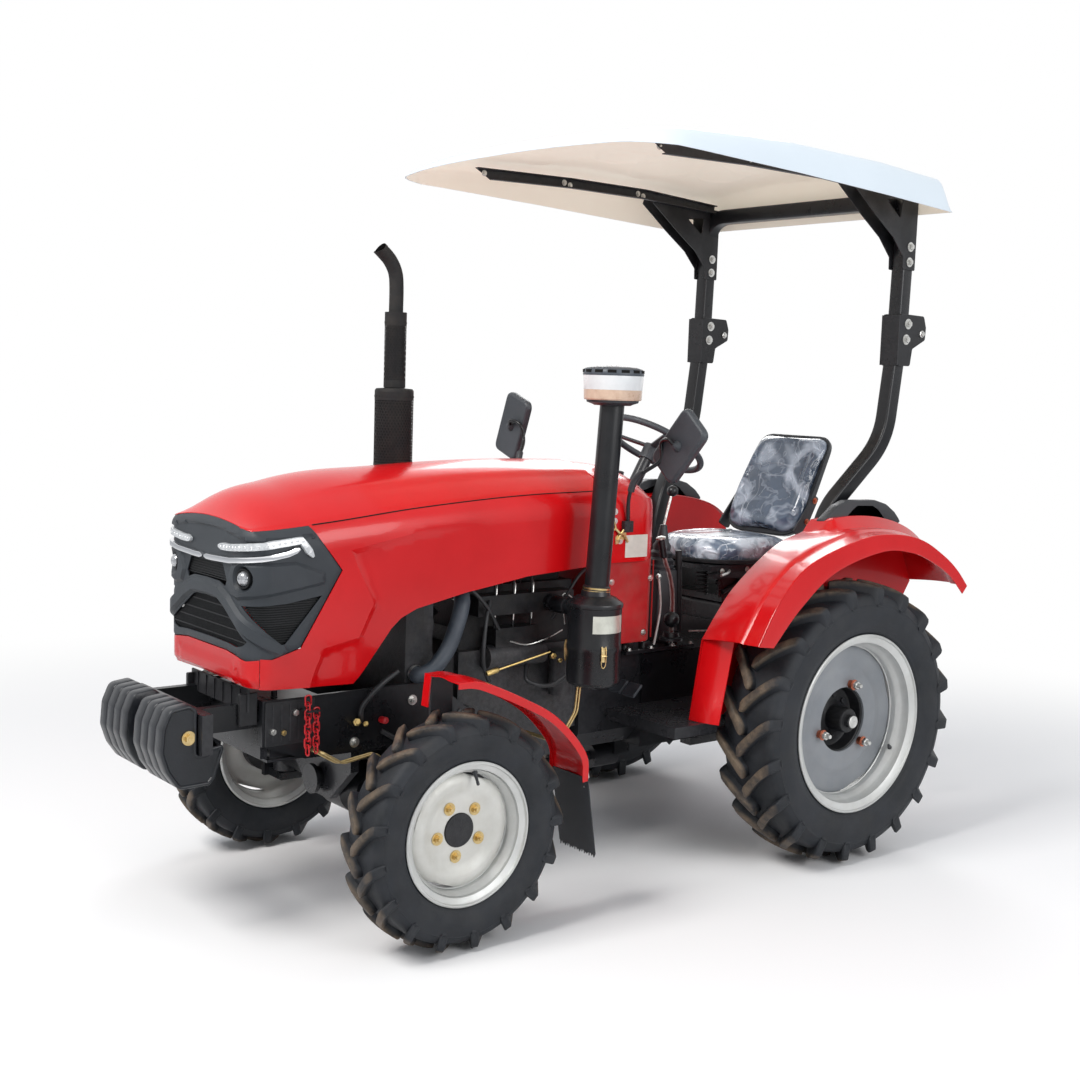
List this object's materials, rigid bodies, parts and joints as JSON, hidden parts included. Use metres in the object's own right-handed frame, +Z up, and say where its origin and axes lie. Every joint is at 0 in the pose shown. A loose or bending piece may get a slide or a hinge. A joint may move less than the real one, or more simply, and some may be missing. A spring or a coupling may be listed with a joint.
{
  "type": "farm tractor",
  "caption": "Compact four-wheel-drive farm tractor with lugged tyres, open platform, folding roll bar with a sun canopy, rear three-point linkage and front suitcase weights.",
  "frame": {"origin": "on the ground, at the centre of the box round the tractor", "axes": "+X to the tractor's left, -Y to its front, +Z up"},
  "size_m": [1.612, 3.34, 2.6552],
  "materials": {
    "red_paint": "gloss",
    "black_paint": "satin",
    "engine_black": "satin",
    "exhaust_black": "matt heat-proof",
    "tyre_rubber": "matt",
    "rim_silver": "satin silver",
    "grille_plastic": "fine grain",
    "lamp_lens": "clear",
    "hose_rubber": "matt",
    "seat_vinyl": "vinyl under clear film",
    "canopy_white": "satin",
    "mirror_plastic": "fine grain",
    "precleaner_plastic": "milky clear",
    "zinc": "yellow passivated"
  },
  "bodies": {
    "chassis": {"air_cleaner": "black_paint", "battery": "black_paint", "cowl": "red_paint", "drawbar": "black_paint", "engine": "engine_black", "exhaust": "exhaust_black", "footplates": "black_paint", "front_axle": "black_paint", "front_frame": "black_paint", "front_weights": "black_paint", "grab_handles": "black_paint", "headlamps": "lamp_lens", "hood_side_left": "red_paint", "hood_side_right": "red_paint", "hood_top": "red_paint", "levers": "black_paint", "lift_chain": "red_paint", "mirrors": "mirror_plastic", "nose_grille": "grille_plastic", "nose_lip": "red_paint", "precleaner": "precleaner_plastic", "propshaft": "black_paint", "radiator": "engine_black", "radiator_hose": "hose_rubber", "rear_axle": "black_paint", "rear_fender_left": "red_paint", "rear_fender_right": "red_paint", "roll_bar_lower": "black_paint", "seat_back": "seat_vinyl", "seat_cushion": "seat_vinyl", "seat_frame": "black_paint", "steering_column": "black_paint", "steering_pipes": "zinc", "tail_lamps": "lamp_lens", "transmission": "black_paint"},
    "front_wheel_left": {"front_tyre_left": "tyre_rubber", "front_rim_left": "rim_silver", "front_hub_left": "black_paint"},
    "rear_wheel_left": {"rear_tyre_left": "tyre_rubber", "rear_rim_left": "rim_silver", "rear_hub_left": "black_paint"},
    "knuckle_left": {"knuckle_left": "black_paint", "front_fender_left": "red_paint"},
    "lower_link_left": {"lower_link_left": "black_paint"},
    "lift_rod_left": {"lift_rod_left": "black_paint"},
    "front_wheel_right": {"front_tyre_right": "tyre_rubber", "front_rim_right": "rim_silver", "front_hub_right": "black_paint"},
    "rear_wheel_right": {"rear_tyre_right": "tyre_rubber", "rear_rim_right": "rim_silver", "rear_hub_right": "black_paint"},
    "knuckle_right": {"knuckle_right": "black_paint", "front_fender_right": "red_paint"},
    "lower_link_right": {"lower_link_right": "black_paint"},
    "lift_rod_right": {"lift_rod_right": "black_paint"},
    "tie_rod": {"tie_rod": "black_paint"},
    "steering_wheel": {"steering_wheel": "mirror_plastic"},
    "lift_arms": {"lift_arms": "black_paint"},
    "roll_bar": {"roll_bar_upper": "black_paint", "canopy": "canopy_white"}
  },
  "joints": [
    {"name": "steer_left", "type": "hinge", "parent": "chassis", "child": "knuckle_left", "pos_m": [0.47, -0.874, 0.373], "axis": [0, 0, 1], "range_deg": [-38, 38]},
    {"name": "front_wheel_left_spin", "type": "hinge", "parent": "knuckle_left", "child": "front_wheel_left", "pos_m": [0.619, -0.874, 0.373], "axis": [1, 0, 0], "continuous": true},
    {"name": "rear_wheel_left_spin", "type": "hinge", "parent": "chassis", "child": "rear_wheel_left", "pos_m": [0.671, 0.83, 0.53], "axis": [1, 0, 0], "continuous": true},
    {"name": "steer_right", "type": "hinge", "parent": "chassis", "child": "knuckle_right", "pos_m": [-0.47, -0.874, 0.373], "axis": [0, 0, 1], "range_deg": [-38, 38]},
    {"name": "front_wheel_right_spin", "type": "hinge", "parent": "knuckle_right", "child": "front_wheel_right", "pos_m": [-0.619, -0.874, 0.373], "axis": [1, 0, 0], "continuous": true},
    {"name": "rear_wheel_right_spin", "type": "hinge", "parent": "chassis", "child": "rear_wheel_right", "pos_m": [-0.671, 0.83, 0.53], "axis": [1, 0, 0], "continuous": true},
    {"name": "tie_rod_swing", "type": "hinge", "parent": "knuckle_left", "child": "tie_rod", "pos_m": [0.47, -0.704, 0.261], "axis": [0, 0, 1], "range_deg": [-38, 38]},
    {"name": "steering_wheel_turn", "type": "hinge", "parent": "chassis", "child": "steering_wheel", "pos_m": [0, 0.456, 1.525], "axis": [0, 0.515, 0.8572], "range_deg": [-380, 380]},
    {"name": "roll_bar_fold", "type": "hinge", "parent": "chassis", "child": "roll_bar", "pos_m": [0, 1.318, 1.985], "axis": [-1, 0, 0], "range_deg": [0, 90]},
    {"name": "link_left_lift", "type": "hinge", "parent": "chassis", "child": "lower_link_left", "pos_m": [0.2, 0.945, 0.42], "axis": [1, 0, 0], "range_deg": [-14, 28]},
    {"name": "link_right_lift", "type": "hinge", "parent": "chassis", "child": "lower_link_right", "pos_m": [-0.2, 0.945, 0.42], "axis": [1, 0, 0], "range_deg": [-14, 28]},
    {"name": "lift_arms_turn", "type": "hinge", "parent": "chassis", "child": "lift_arms", "pos_m": [0, 0.945, 0.85], "axis": [1, 0, 0], "range_deg": [-14, 28]},
    {"name": "lift_rod_left_swing", "type": "hinge", "parent": "lift_arms", "child": "lift_rod_left", "pos_m": [0.23529, 1.245, 0.82928], "axis": [1, 0, 0], "range_deg": [-28, 14]},
    {"name": "lift_rod_right_swing", "type": "hinge", "parent": "lift_arms", "child": "lift_rod_right", "pos_m": [-0.23529, 1.245, 0.82928], "axis": [1, 0, 0], "range_deg": [-28, 14]}
  ],
  "couplings": [
    {"joint": "steer_right", "follows": "steer_left", "ratio": 1},
    {"joint": "tie_rod_swing", "follows": "steer_left", "ratio": -1},
    {"joint": "steering_wheel_turn", "follows": "steer_left", "ratio": 10},
    {"joint": "link_right_lift", "follows": "link_left_lift", "ratio": 1},
    {"joint": "lift_arms_turn", "follows": "link_left_lift", "ratio": 1},
    {"joint": "lift_rod_left_swing", "follows": "link_left_lift", "ratio": -1},
    {"joint": "lift_rod_right_swing", "follows": "link_left_lift", "ratio": -1}
  ]
}
